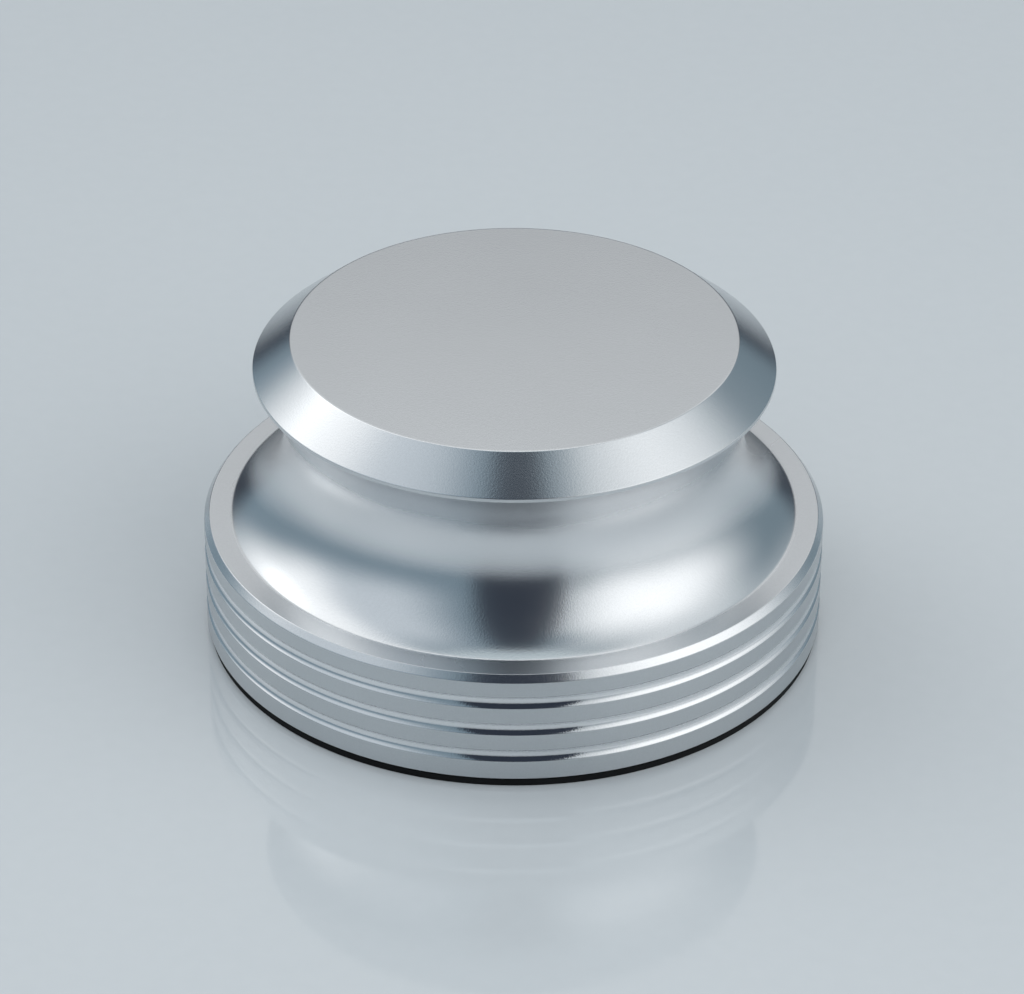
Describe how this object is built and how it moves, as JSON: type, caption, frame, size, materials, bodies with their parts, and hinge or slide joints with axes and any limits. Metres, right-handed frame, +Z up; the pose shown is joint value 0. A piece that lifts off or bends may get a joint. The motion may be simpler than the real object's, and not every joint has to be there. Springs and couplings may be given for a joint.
{
  "type": "record weight",
  "caption": "Round turned aluminium weight with a hollow waist, grooved foot, blind spindle hole and rubber pad, set on a record's label to hold it flat.",
  "frame": {"origin": "centre of the pad's underside, on the axis of turning", "axes": "+Z up along the axis of turning; X and Y are any two directions across it"},
  "size_m": [0.08, 0.08, 0.0415],
  "materials": {
    "satin_aluminium": "fine satin, clear anodised",
    "black_rubber": "matt"
  },
  "bodies": {
    "root": {"weight_body": "satin_aluminium", "base_pad": "black_rubber"}
  },
  "joints": []
}
